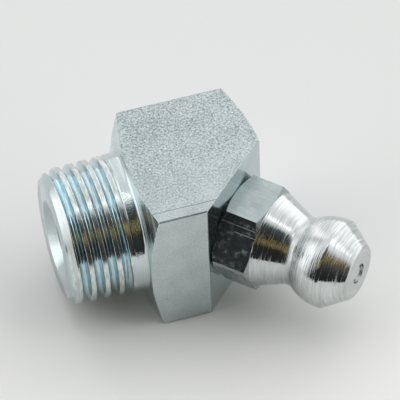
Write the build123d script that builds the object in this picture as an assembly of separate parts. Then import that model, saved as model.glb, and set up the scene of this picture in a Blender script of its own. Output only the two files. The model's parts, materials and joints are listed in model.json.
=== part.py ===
from build123d import *
import math
import os

# Angled grease nipple, 45 degrees. Lengths are in millimetres and angles in degrees.
# The origin is the centre of the thread's shoulder. +X runs from the thread into the block, the nipple lies
# on the side of the block that faces -Z, and the head leans towards -Y. Distances on the head's axis start
# where that axis crosses the thread's axis. The first groove is measured from the thread's end, on the side
# that faces -Z.

# Square block
flats = 10.9
block_length = 9.6
long_edge_round = 0.15
shoulder_flat_radius = 5.35
shoulder_cone_angle = 18.3
shoulder_round = 0.3
end_flat_radius = 5.19
end_cone_angle = 25.6

# Taper thread M10 x 1, with its radius at the shoulder
thread_length = 5.58
thread_radius = 5.03
thread_half_taper = 1.79
thread_start_radius = 4.3
thread_start_angle = 45.0
thread_pitch = 1.0
thread_depth = 0.47
thread_crest_width = 0.35
thread_root_width = 0.1
first_groove = 0.33
runout_angle = 35.0
plain_length = 0.85

# Passage through the thread
passage_radius = 2.15
passage_depth = 9.0
passage_mouth_radius = 2.8
passage_mouth_angle = 45.0
drill_point_angle = 59.0

# Seat for the head, milled across one corner of the block
head_angle = 45.0
head_crossing = 4.316
seat_distance = 3.77
seat_hole_radius = 3.0
seat_hole_depth = 3.0

# Spanner flats of the head piece
hex_flats = 6.9
hex_turn = 27.3
hex_length = 2.88
hex_base_radius = 3.45
hex_base_angle = 30.0
hex_end_radius = 3.46
hex_end_angle = 20.0

# Neck and ball end of the head piece
neck_cone_angle = 23.3
neck_round = 1.0
ball_end_radius = 3.275
ball_end_distance = 11.34
ball_end_land = 0.36
crest_round = 0.3
nose_cone_angle = 35.8
nose_flat_radius = 1.97
nose_round = 0.36

# Shank of the head piece, which fills the seat hole
shank_end_gap = 0.15
shank_chamfer = 0.3

# Valve chamber of the head piece
inlet_radius = 0.75
inlet_length = 0.25
valve_seat_angle = 45.0
chamber_radius = 1.35
crimp_radius = 0.85
crimp_length = 0.35

# Check ball and spring
check_ball_radius = 1.2
check_ball_gap = 0.03
spring_wire_radius = 0.2
spring_radius = 0.95
spring_pitch = 1.8
spring_end_gap = 0.03


def tan(angle):
    return math.tan(math.radians(angle))


def head_plane(distance=0.0):
    """The plane square to the head's axis at a distance, with its X along the part's +Z."""
    lean = math.radians(head_angle)
    out = Vector(math.cos(lean), -math.sin(lean), 0)
    return Plane(Vector(head_crossing, 0, 0) + out * distance, x_dir=(0, 0, 1), z_dir=out)


def turned_on_x(points):
    """A solid turned about the thread's axis from (x, radius) points."""
    return revolve(make_face(Polyline(*points, close=True)), Axis.X)


def turned_on_z(outline):
    """A solid turned about Z from an outline drawn as (radius, z)."""
    return revolve(Rot(90, 0, 0) * make_face(outline), Axis.Z)


# Places on the head's axis that more than one piece uses
hex_end = seat_distance + hex_length
nose_start = ball_end_distance + ball_end_land
nose_end = nose_start + (ball_end_radius - nose_flat_radius) / tan(nose_cone_angle)
shank_end = seat_distance - seat_hole_depth + shank_end_gap
crimp_end = shank_end + crimp_length
inlet_end = nose_end - inlet_length
ball_reach = (check_ball_radius + check_ball_gap) / math.cos(math.radians(valve_seat_angle))
ball_centre = inlet_end - (ball_reach - inlet_radius) / tan(valve_seat_angle)
spring_inside = spring_radius - spring_wire_radius
spring_front = ball_centre - math.sqrt(check_ball_radius**2 - spring_inside**2) - spring_end_gap
spring_rear = crimp_end + spring_end_gap


def block():
    """The square bar with both ends turned to a cone and one corner milled away for the seat."""
    bar = Pos(block_length / 2, 0, 0) * Box(block_length, flats, flats)
    bar = fillet(bar.edges().filter_by(Axis.X), long_edge_round)
    outside = flats
    turned = turned_on_x([
        (0, 0),
        (0, shoulder_flat_radius),
        ((outside - shoulder_flat_radius) * tan(shoulder_cone_angle), outside),
        (block_length - (outside - end_flat_radius) * tan(end_cone_angle), outside),
        (block_length, end_flat_radius),
        (block_length, 0),
    ])
    beyond_seat = extrude(head_plane(seat_distance) * Rectangle(4 * flats, 4 * flats), 2 * flats)
    return (bar & turned) - beyond_seat


def crest_radius(x):
    """The radius of the thread's crests at a place on its axis."""
    return thread_radius + x * tan(thread_half_taper)


def stud_blank():
    """The threaded end before its thread is cut, drawn into the block so that the two are one piece."""
    chamfer = (crest_radius(-thread_length) - thread_start_radius) * tan(thread_start_angle)
    start = chamfer - thread_length
    rooted = head_crossing / 2
    return turned_on_x([
        (-thread_length, 0),
        (-thread_length, thread_start_radius),
        (start, crest_radius(start)),
        (0, thread_radius),
        (rooted, thread_radius),
        (rooted, 0),
    ])


def thread_groove():
    """The right-hand groove between the crests. It starts in the air, one pitch before it first passes the side
    that faces -Z, and widens with the taper up to the plain length."""
    start = first_groove - thread_pitch - thread_length
    height = -plain_length - start
    radius = crest_radius(start)
    mouth = (thread_pitch - thread_crest_width) / 2
    root = thread_root_width / 2
    proud = thread_crest_width
    section = Polyline(
        (-thread_depth, root),
        (-thread_depth, -root),
        (0, -mouth),
        (proud, -mouth),
        (proud, mouth),
        (0, mouth),
        close=True,
    )
    path = Helix(thread_pitch, height, radius, cone_angle=thread_half_taper)
    face = Plane((radius, 0, 0), x_dir=(1, 0, 0), z_dir=(0, 1, 0)) * make_face(section)
    upright = Edge.make_line((0, 0, 0), (0, 0, height))
    return Pos(start, 0, 0) * Rot(0, 90, 0) * sweep(face, path, binormal=upright)


def thread_runout():
    """The cone on which the groove fades out, from well below the roots up to the plain length."""
    fall = 2 * thread_depth
    radius = crest_radius(-plain_length)
    return turned_on_x([
        (-plain_length - fall / tan(runout_angle), 0),
        (-plain_length - fall / tan(runout_angle), radius - fall),
        (-plain_length, radius),
        (0, thread_radius),
        (0, 0),
    ])


def shoulder_corner():
    """The round that fills the corner between the plain length and the shoulder."""
    middle = shoulder_round * (1 - math.sqrt(0.5))
    inner = thread_radius - shoulder_round
    on_stud = (-shoulder_round, crest_radius(-shoulder_round))
    on_shoulder = (0, thread_radius + shoulder_round)
    arc = ThreePointArc(on_stud, (-middle, thread_radius + middle), on_shoulder)
    rim = Polyline(on_shoulder, (0, inner), (-shoulder_round, inner), on_stud)
    return revolve(make_face(arc + rim), Axis.X)


def stud():
    return stud_blank() - thread_groove() + thread_runout() + shoulder_corner()


def passage():
    """The hole drilled from the end of the thread until its point breaks into the seat hole."""
    mouth = (passage_mouth_radius - passage_radius) * tan(passage_mouth_angle)
    full_end = passage_depth - thread_length
    return turned_on_x([
        (-thread_length, 0),
        (-thread_length, passage_mouth_radius),
        (mouth - thread_length, passage_radius),
        (full_end, passage_radius),
        (full_end + passage_radius / tan(drill_point_angle), 0),
    ])


def seat_hole():
    """The blind hole square to the seat, with a drill's point at its bottom."""
    point = seat_hole_radius / tan(drill_point_angle)
    return head_plane(seat_distance).location * turned_on_z(Polyline(
        (0, -seat_hole_depth - point),
        (seat_hole_radius, -seat_hole_depth),
        (seat_hole_radius, 0),
        (0, 0),
        close=True,
    ))


def elbow_body():
    return block() + stud() - passage() - seat_hole()


def spanner_flats():
    """The hexagon, with both ends turned so that its corners fall back."""
    outside = hex_flats
    turned = turned_on_z(Polyline(
        (0, 0),
        (hex_base_radius, 0),
        (outside, (outside - hex_base_radius) * tan(hex_base_angle)),
        (outside, hex_length - (outside - hex_end_radius) * tan(hex_end_angle)),
        (hex_end_radius, hex_length),
        (0, hex_length),
        close=True,
    ))
    hexagon = RegularPolygon(hex_flats / 2, 6, major_radius=False, rotation=hex_turn)
    return Pos(0, 0, seat_distance) * (extrude(hexagon, hex_length) & turned)


def neck_corner():
    """The radius and the distance on the head's axis at which the neck's cone would meet the ball end."""
    lean = math.radians(neck_cone_angle)
    back = ball_end_distance - hex_end
    along = back * math.cos(lean) + hex_end_radius * math.sin(lean)
    short = back**2 + hex_end_radius**2 - ball_end_radius**2
    reach = along - math.sqrt(along**2 - short)
    return (hex_end_radius - reach * math.sin(lean), hex_end + reach * math.cos(lean))


def neck_and_ball_end():
    """The cone that narrows to the neck, the neck's round, the ball end with its short land, and the nose."""
    neck = neck_corner()
    half = math.asin(neck[0] / ball_end_radius) / 2 + math.pi / 4
    halfway = (ball_end_radius * math.sin(half), ball_end_distance - ball_end_radius * math.cos(half))
    crest = (ball_end_radius, ball_end_distance)
    rear = Polyline((0, hex_end), (hex_end_radius, hex_end), neck)
    land_end = (ball_end_radius, nose_start)
    nose_edge = (nose_flat_radius, nose_end)
    front = Polyline(crest, land_end, nose_edge, (0, nose_end), (0, hex_end))
    face = make_face(rear + ThreePointArc(neck, halfway, crest) + front)
    corners = [
        (neck, neck_round),
        (land_end, crest_round),
        (nose_edge, nose_round),
    ]
    for place, radius in corners:
        face = fillet(face.vertices().sort_by_distance((*place, 0))[0], radius)
    return revolve(Rot(90, 0, 0) * face, Axis.Z)


def shank():
    """The part of the head piece that is hidden in the seat hole."""
    return turned_on_z(Polyline(
        (0, shank_end),
        (seat_hole_radius - shank_chamfer, shank_end),
        (seat_hole_radius, shank_end + shank_chamfer),
        (seat_hole_radius, seat_distance),
        (0, seat_distance),
        close=True,
    ))


def valve_chamber():
    """The bore through the head piece: a crimped rear end, the chamber, the ball's seat and the inlet."""
    valve_seat = inlet_end - (chamber_radius - inlet_radius) / tan(valve_seat_angle)
    return turned_on_z(Polyline(
        (0, shank_end),
        (crimp_radius, shank_end),
        (crimp_radius, crimp_end),
        (chamber_radius, crimp_end),
        (chamber_radius, valve_seat),
        (inlet_radius, inlet_end),
        (inlet_radius, nose_end),
        (0, nose_end),
        close=True,
    ))


def nipple_head():
    outside = shank() + spanner_flats() + neck_and_ball_end()
    return head_plane().location * (outside - valve_chamber())


def check_ball():
    return head_plane(ball_centre).location * Sphere(check_ball_radius)


def valve_spring():
    """A compression spring with its two ends ground flat."""
    start = spring_rear - spring_wire_radius
    coil = Helix(spring_pitch, spring_front - spring_rear + 2 * spring_wire_radius, spring_radius)
    wire = sweep(Plane(coil @ 0, z_dir=coil % 0) * Circle(spring_wire_radius), coil, is_frenet=True)
    length = spring_front - spring_rear
    ground = Pos(0, 0, (spring_rear + spring_front) / 2) * Cylinder(2 * spring_radius, length)
    return head_plane().location * (Pos(0, 0, start) * wire & ground)


os.makedirs("parts", exist_ok=True)
for make in (elbow_body, nipple_head, check_ball, valve_spring):
    export_step(make(), f"parts/{make.__name__}.step")
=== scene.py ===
# %% [markdown]
# A grease nipple with its head set at 45 degrees, dressed for its picture. Two machined pieces show: the square
# elbow body with its taper thread, and the head with its spanner flats and ball end. A small ball behind the
# inlet and a spring behind the ball do the work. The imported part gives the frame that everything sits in.

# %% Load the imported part
import json
import math

import bmesh
import bpy
from mathutils import Matrix, Vector

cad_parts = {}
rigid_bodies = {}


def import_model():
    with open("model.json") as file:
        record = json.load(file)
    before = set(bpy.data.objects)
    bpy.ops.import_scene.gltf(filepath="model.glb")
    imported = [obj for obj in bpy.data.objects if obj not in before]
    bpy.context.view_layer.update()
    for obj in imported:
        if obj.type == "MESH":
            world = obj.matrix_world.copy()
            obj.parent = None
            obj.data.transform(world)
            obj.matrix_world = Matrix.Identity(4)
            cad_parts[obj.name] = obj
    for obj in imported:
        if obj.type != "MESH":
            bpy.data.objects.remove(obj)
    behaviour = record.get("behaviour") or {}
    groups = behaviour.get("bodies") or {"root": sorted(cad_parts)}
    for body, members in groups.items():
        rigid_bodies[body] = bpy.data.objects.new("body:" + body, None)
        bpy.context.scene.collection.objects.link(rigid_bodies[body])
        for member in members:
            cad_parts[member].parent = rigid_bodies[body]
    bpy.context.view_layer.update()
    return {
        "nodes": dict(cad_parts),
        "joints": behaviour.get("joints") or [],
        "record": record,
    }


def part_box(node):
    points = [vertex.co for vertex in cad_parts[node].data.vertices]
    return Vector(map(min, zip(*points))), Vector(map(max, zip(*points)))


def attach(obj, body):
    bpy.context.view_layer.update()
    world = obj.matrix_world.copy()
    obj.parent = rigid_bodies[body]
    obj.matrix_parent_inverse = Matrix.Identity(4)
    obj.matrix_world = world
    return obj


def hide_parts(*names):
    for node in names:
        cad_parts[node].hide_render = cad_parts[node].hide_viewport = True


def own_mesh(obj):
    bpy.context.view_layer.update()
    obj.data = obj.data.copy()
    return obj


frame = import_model()
print("nodes:", sorted(frame["nodes"]))

# %% [markdown]
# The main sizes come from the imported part: its mounts state the thread, the ball end and the passage, and the
# boxes of its nodes give the block. Shapes are drawn in millimetres, because a machinist thinks in them and
# because merging points works better on numbers near one, and each finished mesh is then scaled to metres.

# %% Sizes read from the part
METRES = 0.001
mounts = {mount["name"]: mount for mount in frame["record"]["mounts"]}
thread_radius = mounts["thread_shoulder"]["dims"]["r_mm"]
thread_length = mounts["thread_shoulder"]["dims"]["length_mm"]
ball_end_radius = mounts["coupler_end"]["dims"]["r_mm"]
ball_end_land = mounts["coupler_end"]["dims"]["length_mm"]
passage_radius = mounts["grease_passage"]["dims"]["r_mm"]
body_low, body_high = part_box("elbow_body")
block_length = body_high.x / METRES
block_half = body_high.z / METRES
floor_height = body_low.z
print(f"block {2 * block_half:.2f} mm square and {block_length:.2f} mm long, thread {thread_length:.2f} mm")

# %% [markdown]
# A lathe is the heart of both pieces, so it is written once. A chain of points, each a place on the axis and a
# radius, is spun into a skin. The Screw modifier does the same, but its skin can't be cut before it is applied.
# A full turn with merging closes the seam, and merging doubles afterwards closes the poles, where every step
# has left a point of its own on the axis.

# %% A lathe
MERGE_DISTANCE = 0.0005
X_AXIS = Vector((1, 0, 0))


def tan(angle):
    return math.tan(math.radians(angle))


def lathe(points, steps):
    """A closed skin about X from a chain of (x, radius) points, in millimetres."""
    bm = bmesh.new()
    chain = [bm.verts.new((x, radius, 0)) for x, radius in points]
    for first, second in zip(chain, chain[1:]):
        bm.edges.new((first, second))
    bmesh.ops.spin(
        bm,
        geom=bm.verts[:] + bm.edges[:],
        cent=(0, 0, 0),
        axis=X_AXIS,
        dvec=(0, 0, 0),
        angle=2 * math.pi,
        steps=steps,
        use_merge=True,
        use_normal_flip=False,
        use_duplicate=False,
    )
    bmesh.ops.remove_doubles(bm, verts=bm.verts[:], dist=MERGE_DISTANCE)
    bmesh.ops.recalc_face_normals(bm, faces=bm.faces[:])
    return bm


def slice_off(bm, point, outwards):
    """Cuts away what lies beyond a plane and closes the cut with one flat face."""
    cut = bmesh.ops.bisect_plane(
        bm,
        geom=bm.verts[:] + bm.edges[:] + bm.faces[:],
        dist=MERGE_DISTANCE,
        plane_co=point,
        plane_no=outwards,
        clear_outer=True,
        clear_inner=False,
    )
    rim = [item for item in cut["geom_cut"] if isinstance(item, bmesh.types.BMEdge)]
    bmesh.ops.edgeloop_fill(bm, edges=rim)


# %% [markdown]
# Real edges are never quite sharp, and on bright metal the thin round along an edge is what catches the light.
# A Bevel modifier could make it, but here the bevel runs on chosen edges, so that the fine thread stays as it
# is. Flat faces keep a crisp border in the shading, and everything that is turned is shaded smooth.

# %% Edges, shading and the finished piece
FLAT_AREA = 1.0
FLAT_BORDER_ANGLE = 1


def edges_between(bm, smallest, largest, wanted):
    """The edges that turn by an angle between two limits, in degrees, and that pass the test wanted."""
    found = []
    for edge in bm.edges:
        if len(edge.link_faces) == 2:
            turn = math.degrees(edge.calc_face_angle(0))
            if smallest < turn < largest and wanted(edge):
                found.append(edge)
    return found


def round_edges(bm, edges, radius, segments):
    bmesh.ops.bevel(
        bm,
        geom=edges,
        offset=radius,
        offset_type="OFFSET",
        affect="EDGES",
        segments=segments,
        profile=0.5,
        material=-1,
        clamp_overlap=True,
    )


def shade(bm, crisp_angle, always_smooth=lambda edge: False):
    """Smooth shading with crisp edges where flats end or where the surface turns sharply."""
    for face in bm.faces:
        face.smooth = True
    for edge in bm.edges:
        if len(edge.link_faces) != 2 or always_smooth(edge):
            continue
        turn = math.degrees(edge.calc_face_angle(0))
        beside_flat = max(face.calc_area() for face in edge.link_faces) > FLAT_AREA
        edge.smooth = turn < crisp_angle and not (beside_flat and turn > FLAT_BORDER_ANGLE)


def finished(bm, name, place):
    """A mesh object in metres at the origin, with the piece moved to its place in the mesh itself."""
    bm.transform(Matrix.Scale(METRES, 4) @ place)
    mesh = bpy.data.meshes.new(name)
    bm.to_mesh(mesh)
    bm.free()
    piece = bpy.data.objects.new(name, mesh)
    bpy.context.scene.collection.objects.link(piece)
    triangles = sum(len(polygon.vertices) - 2 for polygon in mesh.polygons)
    print(f"{name}: {triangles} triangles")
    return piece


# %% [markdown]
# The elbow body starts as a bar that is turned all over: the passage, the thread's blank, the shoulder, a cone
# behind it, and the cone at the far end. The sides aren't there yet, so the bar is wider than the block's
# corners. The rows are close together where the thread will be, and far apart elsewhere.

# %% The turned bar
TURN_STEPS = 192
THREAD_ROWS_PER_MM = 44
passage_mouth_radius = 2.8
passage_wall_end = 3.42
drill_point_angle = 59.0
thread_start_radius = 4.3
thread_half_taper = 1.79
shoulder_flat_radius = 5.35
shoulder_cone_angle = 18.3
shoulder_round = 0.32
end_flat_radius = 5.19
end_cone_angle = 25.6
bar_radius = 8.2


def crest_radius(x):
    return thread_radius + x * tan(thread_half_taper)


def blank_radius(x):
    """The thread's blank: its taper, the 45 degree chamfer at its start and the round in its corner."""
    if x > -shoulder_round:
        return thread_radius + shoulder_round - math.sqrt(shoulder_round**2 - (x + shoulder_round) ** 2)
    return min(crest_radius(x), thread_start_radius + x + thread_length)


row_count = round(thread_length * THREAD_ROWS_PER_MM)
rows = [-thread_length * (1 - row / row_count) for row in range(row_count + 1)]
elbow = lathe(
    [
        (passage_wall_end + passage_radius / tan(drill_point_angle), 0),
        (passage_wall_end, passage_radius),
        (passage_mouth_radius - passage_radius - thread_length, passage_radius),
        (-thread_length, passage_mouth_radius),
        *[(x, blank_radius(x)) for x in rows],
        (0, shoulder_flat_radius),
        ((bar_radius - shoulder_flat_radius) * tan(shoulder_cone_angle), bar_radius),
        (block_length - (bar_radius - end_flat_radius) * tan(end_cone_angle), bar_radius),
        (block_length, end_flat_radius),
        (block_length, 0),
    ],
    TURN_STEPS,
)
print(f"{len(rows)} rows along the thread, {len(elbow.faces)} faces in the turned bar")

# %% [markdown]
# The thread is a fine M10 x 1 taper thread. It could be a helix swept along the stud, or the Screw modifier,
# but then its two ends have to be joined by hand. Here each point of the blank is moved towards the axis by
# the depth of the groove at that place, which also lets the groove fade out on its cone like the real one.
# Across, the groove is nearly half an ellipse, and a roundness of 0.5 would make it exactly that. Its corners
# with the crests and with the cone are soft.

# %% The thread
thread_pitch = 1.0
thread_depth = 0.47
groove_half_mouth = 0.325
groove_roundness = 0.45
first_groove = 0.33
plain_length = 0.85
runout_angle = 35.0
crest_softness = 0.06


def soft_min(a, b, width):
    """The smaller of two values, with the corner between them rounded."""
    share = max(width - abs(a - b), 0) / width
    return min(a, b) - share * share * width / 4


def groove_depth(x, angle):
    """How deep the groove is at a place along the axis and an angle about it, from +Y towards +Z."""
    turns = (angle + math.pi / 2) / (2 * math.pi)
    centre = first_groove - thread_length + thread_pitch * turns
    aside = abs((x - centre + thread_pitch / 2) % thread_pitch - thread_pitch / 2)
    share = min(aside / groove_half_mouth, 1)
    return thread_depth * (1 - share * share) ** groove_roundness


for vert in elbow.verts:
    x, y, z = vert.co
    radius = math.hypot(y, z)
    if x < -MERGE_DISTANCE and radius > thread_start_radius - MERGE_DISTANCE:
        threaded = soft_min(radius, crest_radius(x) - groove_depth(x, math.atan2(z, y)), crest_softness)
        faded = crest_radius(-plain_length) + (x + plain_length) * tan(runout_angle)
        new_radius = min(radius, -soft_min(-threaded, -faded, crest_softness))
        vert.co.y *= new_radius / radius
        vert.co.z *= new_radius / radius
middle = -thread_length / 2
middle_turn = [vert.co.yz.length for vert in elbow.verts if abs(vert.co.x - middle) < thread_pitch / 2]
print(f"thread from {min(middle_turn):.2f} mm radius in its groove to {max(middle_turn):.2f} mm on its crest")

# %% [markdown]
# Planes now do what the drawing die and the milling cutter did: four sides at the block's width, and the seat
# across one corner, square to the head's axis. Bisect Plane cuts away what lies outside, and the open rim is
# closed with one flat face. The long edges get the bar's own small round, and the cut edges a finer one.

# %% Sides and seat
CRISP_ANGLE = 14
BEVEL_LEFTOVERS = 0.01
head_lean = math.radians(45)
head_crossing = 4.316
seat_distance = 3.77
long_edge_round = 0.15
cut_edge_round = 0.08
thread_floor = 3.6
head_out = Vector((math.cos(head_lean), -math.sin(head_lean), 0))
head_origin = Vector((head_crossing, 0, 0))

for outwards in (Vector((0, 1, 0)), Vector((0, 0, 1)), Vector((0, -1, 0)), Vector((0, 0, -1))):
    slice_off(elbow, outwards * block_half, outwards)
slice_off(elbow, head_origin + head_out * seat_distance, head_out)


def on_block(edge):
    return all(vert.co.x > -MERGE_DISTANCE and vert.co.yz.length > thread_radius for vert in edge.verts)


def along_bar(edge):
    return on_block(edge) and (edge.verts[0].co - edge.verts[1].co).yz.length < MERGE_DISTANCE


def on_thread(edge):
    return all(vert.co.x < -MERGE_DISTANCE and vert.co.yz.length > thread_floor for vert in edge.verts)


round_edges(elbow, edges_between(elbow, 80, 100, along_bar), long_edge_round, 4)
bmesh.ops.remove_doubles(elbow, verts=elbow.verts[:], dist=BEVEL_LEFTOVERS)
round_edges(elbow, edges_between(elbow, 30, 100, on_block), cut_edge_round, 2)
shade(elbow, CRISP_ANGLE, on_thread)
elbow_piece = finished(elbow, "elbow_machined", Matrix.Identity(4))

# %% [markdown]
# The seat hole takes the head's shank. It is hidden behind the spanner flats, but the piece should be right
# when it is taken apart. Bridging a ring of points to the seat's rim would open it, but the drilled passage
# also breaks into it, and only a Boolean joins two crossing holes, so a turned cutter is subtracted.

# %% The seat hole
seat_hole_radius = 3.0
seat_hole_depth = 3.0
cutter_overrun = 1.0
head_turn = Matrix.Rotation(-head_lean, 4, "Z")
head_place = Matrix.Translation(head_origin) @ head_turn
hole_end = seat_distance - seat_hole_depth
cutter = finished(
    lathe(
        [
            (hole_end - seat_hole_radius / tan(drill_point_angle), 0),
            (hole_end, seat_hole_radius),
            (seat_distance + cutter_overrun, seat_hole_radius),
            (seat_distance + cutter_overrun, 0),
        ],
        TURN_STEPS // 2,
    ),
    "seat_hole_cutter",
    head_place,
)
drill = elbow_piece.modifiers.new("seat hole", "BOOLEAN")
drill.operation = "DIFFERENCE"
drill.solver = "EXACT"
drill.object = cutter
drilled = bpy.data.meshes.new_from_object(elbow_piece.evaluated_get(bpy.context.evaluated_depsgraph_get()))
elbow_piece.modifiers.clear()
elbow_piece.data = drilled
bpy.data.objects.remove(cutter)
print(f"drilled body: {len(drilled.polygons)} faces")

# %% [markdown]
# The head is turned from one piece too. Its outline runs from the crimped rear end through the chamber and the
# ball's seat to the inlet, round the nose, the ball end and the neck, and back over the hexagon to the shank.
# All places are distances from where the head's axis crosses the thread's axis.

# %% The head's sizes
hex_flats = 6.9
hex_turn = 27.3
hex_length = 2.88
hex_base_radius = 3.38
hex_base_angle = 28.0
hex_end_radius = 3.46
hex_end_angle = 20.0
hex_bar_radius = 4.3
neck_cone_angle = 23.3
neck_round = 1.0
ball_end_distance = 11.34
crest_round = 0.3
nose_cone_angle = 35.8
nose_flat_radius = 1.97
nose_round = 0.36
shank_end_gap = 0.15
shank_chamfer = 0.3
inlet_radius = 0.75
inlet_length = 0.25
valve_seat_angle = 45.0
chamber_radius = 1.35
crimp_radius = 0.85
crimp_length = 0.35

hex_end = seat_distance + hex_length
nose_start = ball_end_distance + ball_end_land
nose_end = nose_start + (ball_end_radius - nose_flat_radius) / tan(nose_cone_angle)
shank_end = hole_end + shank_end_gap
crimp_end = shank_end + crimp_length
inlet_end = nose_end - inlet_length
valve_seat = inlet_end - (chamber_radius - inlet_radius) / tan(valve_seat_angle)
print(f"the head stands {nose_end - seat_distance:.2f} mm out of its seat")

# %% [markdown]
# Rounds in the outline are short chains of points, worked out from a centre and a radius. A round in a corner
# touches both of the runs that meet there, so its centre lies on the line that halves the corner. A bevel on
# the spun piece could do it too, but it would have to find its edges among all the others first.

# %% Rounds in the outline
ARC_STEPS = 10


def arc(centre, radius, first, last, steps):
    """Points on an arc about a centre between two angles, in degrees from the axis."""
    turns = [math.radians(first + (last - first) * step / steps) for step in range(steps + 1)]
    return [(centre[0] + radius * math.cos(turn), centre[1] + radius * math.sin(turn)) for turn in turns]


def corner_arc(before, corner, after, radius):
    """The points of a round at a corner between two straight runs."""
    corner = Vector(corner)
    back = (Vector(before) - corner).normalized()
    ahead = (Vector(after) - corner).normalized()
    half = back.angle(ahead) / 2
    centre = corner + (back + ahead).normalized() * radius / math.sin(half)
    first = corner + back * radius / math.tan(half) - centre
    last = corner + ahead * radius / math.tan(half) - centre
    start = math.degrees(math.atan2(first.y, first.x))
    swept = math.degrees(first.angle_signed(last))
    return arc(centre, radius, start, start - swept, ARC_STEPS)


crest_at = (nose_start, ball_end_radius)
nose_at = (nose_end, nose_flat_radius)
crest_corner = corner_arc((ball_end_distance, ball_end_radius), crest_at, nose_at, crest_round)
nose_corner = corner_arc(crest_at, nose_at, (nose_end, 0), nose_round)
print(f"{len(crest_corner) + len(nose_corner)} points in the two rounds of the nose")

# %% [markdown]
# The cone behind the spanner flats runs into the ball end through a round, which is the neck. Its centre lies
# one radius outside the cone and one radius outside the ball, and that fixes where it leaves each of them.

# %% The neck
cone_lean = math.radians(neck_cone_angle)
down_cone = Vector((math.cos(cone_lean), -math.sin(cone_lean)))
off_cone = Vector((math.sin(cone_lean), math.cos(cone_lean)))
beside_cone = Vector((hex_end, hex_end_radius)) + neck_round * off_cone
to_ball = Vector((ball_end_distance, 0)) - beside_cone
nearest = to_ball.dot(down_cone)
missed = to_ball.length_squared - nearest**2
run = nearest - math.sqrt((ball_end_radius + neck_round) ** 2 - missed)
neck_centre = beside_cone + down_cone * run
ball_leaves = math.degrees(math.atan2(neck_centre.y, ball_end_distance - neck_centre.x))
neck = arc(neck_centre, neck_round, 270 - neck_cone_angle, 360 - ball_leaves, 2 * ARC_STEPS)
sphere = arc((ball_end_distance, 0), ball_end_radius, 180 - ball_leaves, 90, 3 * ARC_STEPS)
print(f"the neck is {2 * (neck_centre.y - neck_round):.2f} mm thick")

# %% [markdown]
# The outline is spun, six planes cut the spanner flats, and the small edges are rounded. The flats miss the
# ball end and the shank, which are both thinner than the hexagon is across its flats.

# %% The head
HEAD_STEPS = 180
HEXAGON_STEP = 60
first_flat = hex_turn + HEXAGON_STEP / 2
hex_edge_round = 0.13
head = lathe(
    [
        (shank_end, crimp_radius),
        (crimp_end, crimp_radius),
        (crimp_end, chamber_radius),
        (valve_seat, chamber_radius),
        (inlet_end, inlet_radius),
        (nose_end, inlet_radius),
        *reversed(nose_corner),
        *reversed(crest_corner),
        *reversed(sphere),
        *reversed(neck[:-1]),
        (hex_end, hex_end_radius),
        (hex_end - (hex_bar_radius - hex_end_radius) * tan(hex_end_angle), hex_bar_radius),
        (seat_distance + (hex_bar_radius - hex_base_radius) * tan(hex_base_angle), hex_bar_radius),
        (seat_distance, hex_base_radius),
        (seat_distance, seat_hole_radius),
        (shank_end + shank_chamfer, seat_hole_radius),
        (shank_end, seat_hole_radius - shank_chamfer),
        (shank_end, crimp_radius),
    ],
    HEAD_STEPS,
)
for flat in range(6):
    turn = math.radians(first_flat + HEXAGON_STEP * flat)
    outwards = Vector((0, -math.sin(turn), math.cos(turn)))
    slice_off(head, outwards * hex_flats / 2, outwards)


def on_hexagon(edge):
    return all(seat_distance < v.co.x < hex_end and v.co.yz.length > hex_base_radius for v in edge.verts)


round_edges(head, edges_between(head, 35, 100, on_hexagon), hex_edge_round, 2)
shade(head, CRISP_ANGLE)
head_piece = finished(head, "head_machined", head_place)

# %% [markdown]
# The check ball is a hardened bearing ball. It is a true sphere, so it is turned from a half circle with
# many steps, because it is polished and every facet would show.

# %% The check ball
check_ball_radius = 1.2
check_ball_gap = 0.03
BALL_STEPS = 64
ball_reach = (check_ball_radius + check_ball_gap) / math.cos(math.radians(valve_seat_angle))
ball_centre = inlet_end - (ball_reach - inlet_radius) / tan(valve_seat_angle)
half_circle = [math.pi * step / BALL_STEPS for step in range(BALL_STEPS + 1)]
ball = lathe(
    [
        (ball_centre - check_ball_radius * math.cos(turn), check_ball_radius * math.sin(turn))
        for turn in half_circle
    ],
    2 * BALL_STEPS,
)
shade(ball, CRISP_ANGLE, lambda edge: True)
ball_piece = finished(ball, "check_ball_polished", head_place)

# %% [markdown]
# The spring is wire wound on a mandrel. A curve with a bevel would do, but Spin can do it as well: a ring of
# points that is spun about the axis and pushed along it at the same time draws the helix. Two planes then
# grind its ends flat.

# %% The spring
spring_wire_radius = 0.2
spring_radius = 0.95
spring_pitch = 1.8
spring_end_gap = 0.03
STEPS_PER_TURN = 48
WIRE_SIDES = 16
GROUND_END_ANGLE = 40
spring_inside = spring_radius - spring_wire_radius
spring_rear = crimp_end + spring_end_gap
spring_front = ball_centre - math.sqrt(check_ball_radius**2 - spring_inside**2) - spring_end_gap
spring_turns = (spring_front - spring_rear + 2 * spring_wire_radius) / spring_pitch
wire = bmesh.new()
ring_place = Matrix.Translation((spring_rear - spring_wire_radius, 0, spring_radius))
ring_lean = math.atan(spring_pitch / (2 * math.pi * spring_radius))
ring_turn = Matrix.Rotation(math.pi / 2, 4, "X") @ Matrix.Rotation(-ring_lean, 4, "Y")
ring = bmesh.ops.create_circle(wire, segments=WIRE_SIDES, radius=spring_wire_radius, cap_ends=False)
bmesh.ops.transform(wire, matrix=ring_place @ ring_turn, verts=ring["verts"])
bmesh.ops.spin(
    wire,
    geom=wire.verts[:] + wire.edges[:],
    cent=(0, 0, 0),
    axis=X_AXIS,
    dvec=(spring_pitch / STEPS_PER_TURN, 0, 0),
    angle=2 * math.pi * spring_turns,
    steps=round(STEPS_PER_TURN * spring_turns),
    use_merge=False,
    use_normal_flip=False,
    use_duplicate=False,
)
bmesh.ops.recalc_face_normals(wire, faces=wire.faces[:])
slice_off(wire, Vector((spring_rear, 0, 0)), -X_AXIS)
slice_off(wire, Vector((spring_front, 0, 0)), X_AXIS)
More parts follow.
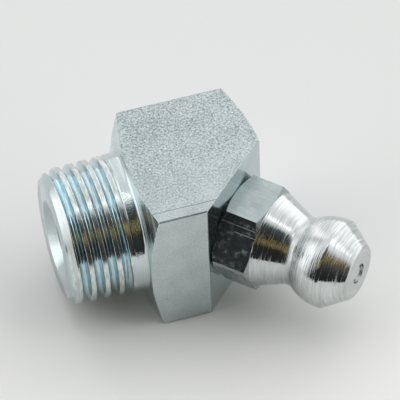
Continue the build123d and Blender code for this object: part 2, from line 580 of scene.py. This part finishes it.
bmesh.ops.recalc_face_normals(wire, faces=wire.faces[:])
shade(wire, GROUND_END_ANGLE)
spring_piece = finished(wire, "spring_wound", head_place)
print(f"{spring_turns:.1f} turns of wire over {spring_front - spring_rear:.2f} mm")

# %% [markdown]
# Each piece takes the place of its plain node and rides on that node's body. The ball moves with the valve.

# %% Riding on the bodies
valve_travel = frame["joints"][0]["range_m"][1] / METRES
for piece, node, body, finish in (
    (elbow_piece, "elbow_body", "fitting", "zinc_plated_body"),
    (head_piece, "nipple_head", "fitting", "zinc_plated_head"),
    (ball_piece, "check_ball", "valve", "bearing_ball"),
    (spring_piece, "valve_spring", "fitting", "spring_wire"),
):
    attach(piece, body)
    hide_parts(node)
(head_origin + head_out * spring_rear) * METRES
1 - valve_travel / (spring_front - spring_rear)
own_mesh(spring_piece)
print(f"the valve opens {valve_travel:.1f} mm")

# %% [markdown]
# Shader maths reads best as ordinary expressions. The small class below wraps a node's socket, so that adding
# or multiplying two of them adds the Math node. Any other node comes from one method. Most masks below are made
# with step and between, which turn a place on the piece into a soft 0 or 1.

# %% A wrapper for shader sockets


class Wire:
    """One output of a node in a material's or the world's tree."""

    def __init__(self, tree, socket):
        self.tree = tree
        self.socket = socket

    def node(self, kind, settings=None, sockets=None, output=0):
        """Adds a node to the same tree and returns one of its outputs."""
        return add_node(self.tree, kind, settings, sockets, output)

    def maths(self, operation, *others):
        """A Math node that takes this value first."""
        return self.node("ShaderNodeMath", {"operation": operation}, dict(enumerate((self, *others))))

    def __add__(self, other):
        return self.maths("ADD", other)

    def __sub__(self, other):
        return self.maths("SUBTRACT", other)

    def __rsub__(self, other):
        return self.node("ShaderNodeMath", {"operation": "SUBTRACT"}, {0: other, 1: self})

    def __mul__(self, other):
        return self.maths("MULTIPLY", other)

    def __neg__(self):
        return 0 - self

    __radd__ = __add__
    __rmul__ = __mul__

    def step(self, low, high):
        """0 below low, 1 above high and smooth between them."""
        return self.node(
            "ShaderNodeMapRange",
            {"interpolation_type": "SMOOTHSTEP"},
            {"Value": self, "From Min": low, "From Max": high},
        )

    def between(self, low, high, soft):
        """1 between low and high, fading over a soft border on both sides of each."""
        return self.step(low - soft, low + soft) * (1 - self.step(high - soft, high + soft))


def add_node(tree, kind, settings=None, sockets=None, output=0):
    """Adds a node, applies its settings, fills its sockets and returns one of its outputs."""
    made = tree.nodes.new(kind)
    for name, value in (settings or {}).items():
        setattr(made, name, value)
    for name, value in (sockets or {}).items():
        if isinstance(value, Wire):
            tree.links.new(value.socket, made.inputs[name])
        else:
            made.inputs[name].default_value = value
    return Wire(tree, made.outputs[output]) if made.outputs else None


# %% [markdown]
# Every finish starts from places on its piece in millimetres. The head's places are turned, so that its axis
# lies along X as it did in the lathe. A noise that is squeezed along the axis and stretched round it draws the
# broken rings that a cutting tool leaves. A Wave texture gives rings too, but they all look alike.

# %% Places and noises


def material(name):
    made = bpy.data.materials.new(name)
    made.use_nodes = True
    made.node_tree.nodes.clear()
    return made


def surface(made, sockets):
    """The metal shader and the output, with the values and links of its sockets."""
    shader = add_node(made.node_tree, "ShaderNodeBsdfPrincipled", None, sockets)
    shader.node("ShaderNodeOutputMaterial", None, {"Surface": shader})
    print(f"{made.name}: {len(made.node_tree.nodes)} nodes")


def places(made, on_head):
    """The place along the piece's axis, the two places across it and the distance from the axis."""
    point = add_node(made.node_tree, "ShaderNodeTexCoord", output="Object")
    turn = head_turn.inverted() if on_head else Matrix.Identity(4)
    shift = -(turn @ head_origin) if on_head else Vector((0, 0, 0))
    sockets = {"Vector": point, "Scale": (1 / METRES,) * 3, "Rotation": turn.to_euler(), "Location": shift}
    moved = point.node("ShaderNodeMapping", None, sockets)
    along, side, up = (moved.node("ShaderNodeSeparateXYZ", None, {0: moved}, axis) for axis in "XYZ")
    return along, side, up, (side * side + up * up).maths("SQRT")


def noise(along, side, up, detail):
    """A smooth random value about 0.5 from three places, whose scale sets how fine it is."""
    point = along.node("ShaderNodeCombineXYZ", None, {0: along, 1: side, 2: up})
    return along.node("ShaderNodeTexNoise", None, {"Vector": point, "Scale": 1.0, "Detail": detail}, "Fac")


def even_noise(spot, per_mm, shift, detail):
    """A noise that is as fine along as across. A shift of its own keeps it from looking like another."""
    along, side, up = spot
    return noise(along * per_mm + shift, side * per_mm, up * per_mm, detail)


# %% [markdown]
# Colours and normals have nodes of their own. A Mix node keeps a set of sockets for every kind of value, which
# share their names, so its colour sockets are picked by number. A Bump node makes a normal from small heights.

# %% Colours and relief
MIX_SHARE, MIX_FIRST, MIX_SECOND, MIX_COLOUR = 0, 6, 7, 2


def blend(share, first, second):
    """A colour between two others."""
    first, second = ((*colour, 1) if isinstance(colour, tuple) else colour for colour in (first, second))
    sockets = {MIX_SHARE: share, MIX_FIRST: first, MIX_SECOND: second}
    return share.node("ShaderNodeMix", {"data_type": "RGBA"}, sockets, MIX_COLOUR)


def scaled(colour, amount):
    """A colour made lighter or darker by an amount about one."""
    return colour.node("ShaderNodeVectorMath", {"operation": "SCALE"}, {0: colour, "Scale": amount})


def raised(height):
    """The normal of a surface with small heights on it, in millimetres."""
    return height.node("ShaderNodeBump", None, {"Height": height, "Strength": 1.0, "Distance": METRES}, "Normal")


# %% [markdown]
# Bright zinc plating is a thin bluish metal skin over the steel, and it copies what lies below, so the body has
# a different finish wherever it was worked differently. The drawn sides are grainy, with a smoother strip that
# the die left along one edge. Materials on chosen faces could tell these places apart, but they would end in
# hard lines. Masks that are worked out from the place on the piece fade into each other.

# %% Where each finish lies on the body
strip_edge = -4.53
die_line_middle = -4.54
line_fade = 0.03
at_side = (block_half - 0.09, block_half - 0.03)
at_seat = (seat_distance - 0.04, seat_distance - 0.02)

body_zinc = material("zinc on the body")
along, side, up, out = places(body_zinc, False)
drawn = side.maths("ABSOLUTE").maths("MAXIMUM", up.maths("ABSOLUTE")).step(*at_side)
front = drawn * (-side).step(*at_side)
far_side = side.step(-4.4, 2.5)
near_top = up.step(5.3, 5.4)
strip = near_top * (1 - side.step(strip_edge - line_fade, strip_edge + line_fade))
die_line = near_top * side.between(die_line_middle - line_fade, die_line_middle + line_fade, line_fade)
rough_side = drawn * (1 - strip * 0.65) * (1 - front * 0.55)
towards_head = (along - head_crossing) * math.cos(head_lean) - side * math.sin(head_lean)
milled = towards_head.step(*at_seat)
turned = (1 - drawn) * (1 - milled)
shoulder = turned * along.step(0.0, 0.1) * (1 - along.step(3.0, 3.5)) * up.step(-4.0, 0.0)
plain = turned * along.between(-0.9, -0.3, 0.05)

# %% [markdown]
# On the thread the depth below its blank tells crest from groove. The plating bath leaves the bluest film in
# the groove, which is never rubbed, and the crests are yellowed, with a painted highlight along their edges.

# %% Where each finish lies on the thread
inside = 1 - out.step(passage_mouth_radius - 0.1, passage_mouth_radius)
threaded = (1 - along.step(-1.2, -0.9)) * along.step(-5.5, -5.3) * (1 - inside)
crest_here = along * tan(thread_half_taper) + thread_radius
depth_here = crest_here.maths("MINIMUM", along + thread_start_radius + thread_length) - out
crest = (1 - depth_here.step(0.03, 0.10)) * threaded
# painted highlight along the edge between crest and flank
painted_crest_highlight = depth_here.step(0.0, 0.03) * (1 - depth_here.step(0.07, 0.14)) * threaded
sunk = depth_here.step(0.06, 0.30) * threaded

# %% [markdown]
# The relief is a few thousandths of a millimetre high: grain, specks and pits on the drawn sides, rings on what
# is turned, streaks along the thread, and the cutter's marks on the seat. The shoulder has coarse rings about
# the thread's axis, and its light and dark arcs come from them and from painted light and shade along the same
# rings.

# %% Relief of the body
GRAINS_PER_MM = 7.0
SPECKS_PER_MM = 13.0
PITS_PER_MM = 3.0
CLOUDS_PER_MM = 0.5
RINGS_PER_MM = 9.0
SHOULDER_RINGS_PER_MM = 4.2
RING_SLANT = 0.6

spot = (along, side, up)
grain = even_noise(spot, GRAINS_PER_MM, 0, 3.0)
specks = even_noise(spot, SPECKS_PER_MM, 40, 1.0).step(0.60, 0.72)
clouds = even_noise(spot, CLOUDS_PER_MM, 7, 3.0)
pits = even_noise(spot, PITS_PER_MM, 90, 2.0).step(0.70, 0.76)
across = (along + out * RING_SLANT) * RINGS_PER_MM
rings = noise(across, side * 0.35, up * 0.35, 3.0)
streaks = noise(across * 0.7 + 20, side * 1.5, up * 1.5, 4.0)
shoulder_rings = noise(out * SHOULDER_RINGS_PER_MM, side * 0.12, up * 0.12, 2.0)
marks = noise(towards_head * 4, (along + side) * 0.4, up * 9.0, 2.0)
height = (
    rough_side * grain * (0.006 + far_side * 0.006)
    + rough_side * specks * 0.004
    - drawn * pits * 0.01
    + turned * rings * 0.006
    + shoulder * shoulder_rings * 0.045
    + plain * grain * 0.014
    + threaded * streaks * 0.006
    + milled * marks * 0.003
    - die_line * 0.01
)

# %% [markdown]
# The colour is a tint times a lightness, so that a mark can darken every tint alike. A colour ramp on each noise
# could do it too, but then a mask that crosses another would need a ramp of its own. Gloss follows the same
# masks: the plain length and the turned cones are nearly mirrors, and the drawn sides are dull.

# %% Zinc on the body
bluish = (0.53, 0.60, 0.61)
bluest = (0.42, 0.64, 0.73)
yellowed = (0.56, 0.58, 0.54)
greyed = (0.40, 0.44, 0.44)

tint = blend(sunk * clouds.step(0.2, 0.8) * 0.9, bluish, bluest)
tint = blend(crest * streaks.step(0.35, 0.65), tint, yellowed)
tint = blend(drawn * pits, tint, greyed)
lightness = (
    0.76
    + rough_side * (grain - 0.5) * (1.1 + far_side * 0.7)
    + specks * rough_side * 0.35
    + rings * turned * 0.25
    - rough_side * far_side * 0.04
    + strip * 0.02
    # painted light on the milled seat, lifting the shade it reflects from under the head
    + milled * 0.17
    + (clouds - 0.5) * 0.35
    + (1 - drawn) * 0.16
    - die_line * 0.45
    # painted highlight along the crests' edges
    + painted_crest_highlight * streaks.step(0.40, 0.60) * 0.45
    + threaded * (streaks - 0.5) * 0.5
    # The front face is lighter: partly its smoother drawn finish, partly painted light.
    + front * 0.26
    # painted shade in the grooves
    - sunk * 0.04
    # painted shade on the underside of the thread
    - threaded * (-up).step(0.5, 4.0) * 0.14
    # The shoulder is painted lighter, with painted light and shade along its rings.
    + shoulder * (shoulder_rings - 0.3) * 0.8
)
dullness = (
    0.10
    + drawn * 0.22
    - strip * 0.06
    + milled * 0.12
    + threaded * 0.06
    + crest * 0.04
    - plain * 0.04
    + shoulder * (0.03 + shoulder_rings.step(0.46, 0.58) * 0.36)
)
surface(
    body_zinc,
    {
        "Base Color": scaled(tint, lightness),
        "Metallic": 1,
        "Roughness": dullness,
        "Normal": raised(height),
    },
)

# %% [markdown]
# The head has the same plating over deeper turning marks, because its form tool chatters on the thin neck. Its
# spanner flats are part of the drawn bar, with fine lines along the axis instead of rings. The flat in front
# has two scratches and a rubbed lower edge, and it is dulled in patches.

# %% Where each finish lies on the head
scratch_fade = 0.015
front_turn = math.radians(first_flat)

head_zinc = material("zinc on the head")
along, side, up, out = places(head_zinc, True)
before_cone = 1 - along.step(hex_end - 0.02, hex_end + 0.02)
on_flats = before_cone * along.step(seat_distance, seat_distance + 0.02)
turned = 1 - on_flats
neck_zone = along.step(8.4, 9.0) * (1 - along.step(9.9, 10.6))
ball_zone = along.step(9.4, 10.0) * (1 - along.step(13.2, 13.4))
towards_front = up * math.cos(front_turn) - side * math.sin(front_turn)
down_front = -side * math.cos(front_turn) - up * math.sin(front_turn)
front_flat = towards_front.step(hex_flats / 2 - 0.05, hex_flats / 2 - 0.01) * on_flats
long_scratch = down_front.between(-1.315, -1.265, scratch_fade)
short_scratch = down_front.between(-0.815, -0.765, scratch_fade) * along.step(4.9, 5.3)
scratched = (long_scratch + short_scratch) * front_flat
rubbed = down_front.step(1.82, 1.90) * towards_front.step(3.2, 3.3) * on_flats

# %% [markdown]
# Two noises make the rings, a coarse one for the chatter and a fine one for the tool's feed. The fine rings also
# set the gloss, so that bright and dull lines lie side by side as they do on the real ball end.

# %% Zinc on the head
silvery = (0.60, 0.63, 0.63)

spot = (along, side, up)
across = along + out * RING_SLANT
coarse = noise(across * 4.0, side * 0.3, up * 0.3, 2.0)
rings = noise(across * 12.0, side * 0.5, up * 0.5, 3.0)
lines = noise(along * 0.8, side * 11.0, up * 11.0, 3.0)
clouds = even_noise(spot, 0.6, 3, 3.0)
specks = even_noise(spot, 12.0, 0, 2.0)
dulled = even_noise(spot, 2.4, 11, 3.0).step(0.40, 0.80)
height = (
    turned * rings * (0.013 + ball_zone * 0.006)
    + turned * coarse * 0.010
    + on_flats * lines * 0.001
    + on_flats * specks * 0.0005
)
lightness = (
    0.92
    + (rings - 0.5) * turned * (0.6 + ball_zone * 0.5)
    + (lines - 0.5) * on_flats * 0.3
    + (clouds - 0.5) * 0.3
    # The flats are a little darker than the turned faces, and painted lighter on the lower flats, darker on the
    # upper ones.
    - on_flats * (0.13 + up * 0.03)
    + ball_zone * 0.03
    # painted shade on the underside of the turned faces
    - turned * (-up).step(1.0, 3.0) * 0.10
)
dullness = (
    0.06
    + turned * rings.step(0.50, 0.70) * 0.28
    + neck_zone * 0.16
    + on_flats * (0.20 - front_flat * 0.11 + dulled * 0.19)
    + (scratched + rubbed) * 0.45
)
surface(
    head_zinc,
    {
        "Base Color": scaled(blend(on_flats, silvery, bluish), lightness),
        "Metallic": 1,
        "Roughness": dullness,
        "Normal": raised(height),
    },
)

# %% [markdown]
# The check ball is polished steel with hair scratches in every direction. The spring is drawn wire, darker and
# with lines along its length, which on so thin a wire are simply a fine noise round the coil's axis.

# %% Steel on the valve parts
ball_steel = material("polished steel")
along, side, up, out = places(ball_steel, True)
hairs = noise(along * 2.0, side * 14.0, up * 5.0, 4.0)
polished = blend(hairs, (0.52, 0.53, 0.55), (0.64, 0.65, 0.66))
surface(
    ball_steel,
    {
        "Base Color": scaled(polished, 1.0 + (hairs - 0.5) * 0.2),
        "Metallic": 1,
        "Roughness": 0.04 + hairs * 0.08,
        "Normal": raised(hairs * 0.0008),
    },
)
wire_steel = material("drawn wire")
along, side, up, out = places(wire_steel, True)
drawing = noise(along * 16.0, side * 3.0, up * 3.0, 3.0)
oiled = blend(drawing, (0.30, 0.31, 0.33), (0.52, 0.53, 0.54))
surface(
    wire_steel,
    {
        "Base Color": scaled(oiled, 1.0 + (drawing - 0.5) * 0.3),
        "Metallic": 1,
        "Roughness": 0.22 + drawing * 0.15,
        "Normal": raised(drawing * 0.002),
    },
)
for piece, finish in (
    (elbow_piece, body_zinc),
    (head_piece, head_zinc),
    (ball_piece, ball_steel),
    (spring_piece, wire_steel),
):
    piece.data.materials.clear()
    piece.data.materials.append(finish)

# %% [markdown]
# The floor is a sheet of white board. It stops a little in front of the part, out of the picture, and its edge
# is what ends the dark reflections in the metal below. More light falls on the board in front of the part. A
# lamp could bring it, but it would light the metal too, so the board's colour is lighter there instead.

# %% The floor
FLOOR_SIZE = 0.6
FLOOR_FRONT = -0.045
white_card = (0.81, 0.825, 0.825)
lit_card = (0.95, 0.96, 0.95)
sheet = bmesh.new()
bmesh.ops.create_grid(sheet, x_segments=1, y_segments=1, size=FLOOR_SIZE)
bmesh.ops.translate(sheet, vec=(0, FLOOR_SIZE + FLOOR_FRONT, floor_height), verts=sheet.verts[:])
floor_mesh = bpy.data.meshes.new("floor")
sheet.to_mesh(floor_mesh)
sheet.free()
floor = bpy.data.objects.new("floor", floor_mesh)
bpy.context.scene.collection.objects.link(floor)
board = material("white board")
point = add_node(board.node_tree, "ShaderNodeTexCoord", output="Object")
in_front = -point.node("ShaderNodeSeparateXYZ", None, {0: point}, "Y")
fallen_on = in_front.step(-0.002, 0.014)
surface(board, {"Base Color": blend(fallen_on, white_card, lit_card), "Roughness": 0.7})
floor_mesh.materials.append(board)

# %% [markdown]
# Bright metal shows its surroundings more than itself. The part stands in a white light tent with its front
# open. Lamps shine through the cloth at the right, behind and at the left, and through the opening the metal
# sees a dark room with a dim corner and something brown in it. Lamps and cards could build such a tent, but the
# world shader paints it by bearing and elevation, where every patch can be moved by a number.

# %% The tent's directions and patches
world = bpy.data.worlds.new("light tent")
bpy.context.scene.world = world
world.use_nodes = True
world.node_tree.nodes.clear()
sky = world.node_tree
direction = add_node(sky, "ShaderNodeTexCoord", output="Generated")
across, away, high = (direction.node("ShaderNodeSeparateXYZ", None, {0: direction}, axis) for axis in "XYZ")
bearing = across.maths("ARCTAN2", -away) * math.degrees(1)
elevation = high.maths("ARCSINE") * math.degrees(1)


def panel(left, right, low, top, soft):
    """1 inside a patch of the tent between two bearings and two elevations, fading over a soft border."""
    return bearing.between(left, right, soft) * elevation.between(low, top, soft)


opening = bearing.step(-82, -68) * (1 - bearing.step(27, 52)) * (1 - elevation.step(64, 88))
cloth = (
    1.08
    - elevation.step(50, 80) * 0.14
    + elevation.step(81, 87) * 1.4
    + panel(60, 78, 40, 66, 7) * 1.2
    + panel(116, 156, -8, 54, 12) * 0.7
    + panel(64, 112, -6, 32, 9) * 0.35
    + panel(-178, -160, -10, 60, 8) * 0.5
    + panel(-130, -92, -12, 56, 10) * 0.55
    - panel(-152, -140, -20, 60, 6) * 0.35
)

# %% [markdown]
# The camera doesn't see the tent. Where it looks past the floor it gets one plain pale grey, through Light
# Path's Is Camera Ray, while the metal and the floor are lit by the tent.

# %% The light tent
dark_room = (0.028, 0.028, 0.028)
room_ceiling = (0.08, 0.10, 0.105)
dim_corner = (0.11, 0.11, 0.105)
brown = (0.46, 0.36, 0.16)
backdrop = (0.78, 0.80, 0.79, 1)

patches = noise(across * 20.0, away * 20.0, high * 20.0, 3.0).step(0.38, 0.58)
brown_things = panel(-66, -8, 28, 50, 5) + panel(4, 46, 28, 48, 5)
room = blend(elevation.step(50, 62), dark_room, room_ceiling)
room = blend(panel(12, 60, -10, 26, 7), room, dim_corner)
room = blend(brown_things * patches, room, brown)
tent = cloth.node("ShaderNodeCombineColor", None, {0: cloth, 1: cloth, 2: cloth})
shown = add_node(sky, "ShaderNodeLightPath", output="Is Camera Ray")
lit = add_node(sky, "ShaderNodeBackground", None, {"Color": blend(opening, tent, room), "Strength": 1.0})
seen = add_node(sky, "ShaderNodeBackground", None, {"Color": backdrop, "Strength": 1.0})
both = shown.node("ShaderNodeMixShader", None, {0: shown, 1: lit, 2: seen})
add_node(sky, "ShaderNodeOutputWorld", None, {"Surface": both})
print(f"{world.name}: {len(sky.nodes)} nodes")

# %% [markdown]
# The camera looks down on the part from the thread's side through a very long lens, so that lines that run
# away from it hardly draw together. It is placed by its distance and its angles about a point on the block.

# %% The camera
PICTURE_SIZE = 400
SENSOR = 36.0
focal_pixels = 5051.9
camera_azimuth = math.radians(-14.775)
camera_elevation = math.radians(48.803)
camera_roll = math.radians(-2.224)
camera_distance = 0.3574
camera_aim = Vector((0.00525, 0.00036, 0.0))

back = Vector(
    (
        math.sin(camera_azimuth) * math.cos(camera_elevation),
        -math.cos(camera_azimuth) * math.cos(camera_elevation),
        math.sin(camera_elevation),
    )
)
level_right = Vector((math.cos(camera_azimuth), math.sin(camera_azimuth), 0))
level_up = back.cross(level_right)
right = math.cos(camera_roll) * level_right + math.sin(camera_roll) * level_up
upright = math.cos(camera_roll) * level_up - math.sin(camera_roll) * level_right
lens = bpy.data.cameras.new("camera")
lens.sensor_width = SENSOR
lens.lens = focal_pixels * SENSOR / PICTURE_SIZE
lens.clip_start = 0.01
lens.clip_end = 5
camera = bpy.data.objects.new("camera", lens)
turn = Matrix((right, upright, back)).transposed().to_4x4()
camera.matrix_world = Matrix.Translation(camera_aim + back * camera_distance) @ turn
bpy.context.scene.collection.objects.link(camera)
bpy.context.scene.camera = camera
bpy.context.scene.view_settings.view_transform = "Standard"
print(f"a lens of {lens.lens:.0f} mm, {camera_distance / METRES:.0f} mm from the block")
